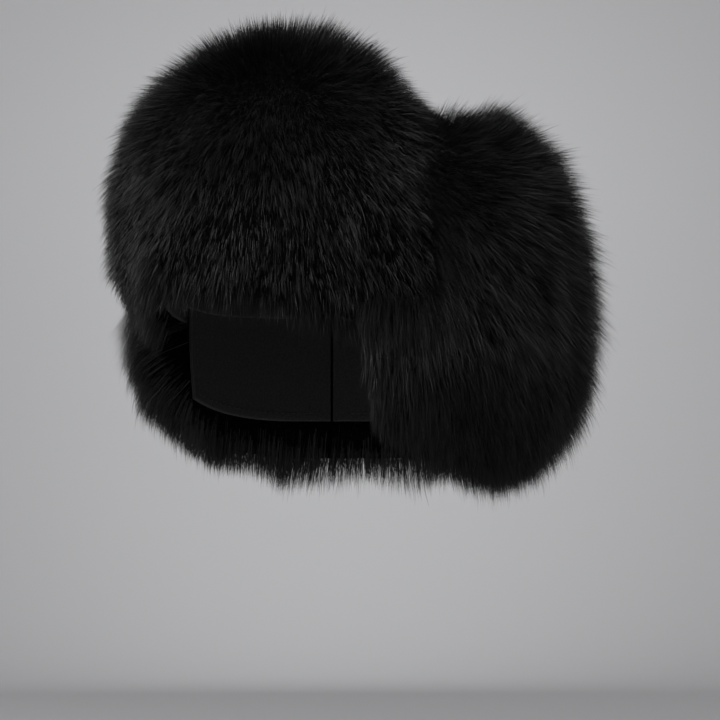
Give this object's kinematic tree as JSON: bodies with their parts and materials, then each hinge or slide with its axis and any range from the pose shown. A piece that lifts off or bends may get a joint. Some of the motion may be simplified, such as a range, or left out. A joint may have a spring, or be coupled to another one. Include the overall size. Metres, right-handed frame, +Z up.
{
  "type": "fur hat",
  "caption": "Deep black fur trapper hat with a turned-up front flap, hanging ear flaps and a neck flap round a hollow crown.",
  "frame": {"origin": "centre of the head opening at the height of the brow", "axes": "+Z up, front of the hat towards -Y, the wearer's left towards +X"},
  "size_m": [0.3041, 0.3139, 0.2824],
  "materials": {
    "hide": "black suede hide side, matt",
    "fur": "long glossy black guard hair over dense underfur"
  },
  "bodies": {
    "root": {"crown_shell": "hide", "front_flap": "hide", "ear_flap_left": "hide", "ear_flap_right": "hide", "neck_flap": "hide", "crown_fur": "fur", "front_flap_fur": "fur", "ear_flap_left_fur": "fur", "ear_flap_right_fur": "fur", "neck_flap_fur": "fur"}
  },
  "joints": []
}
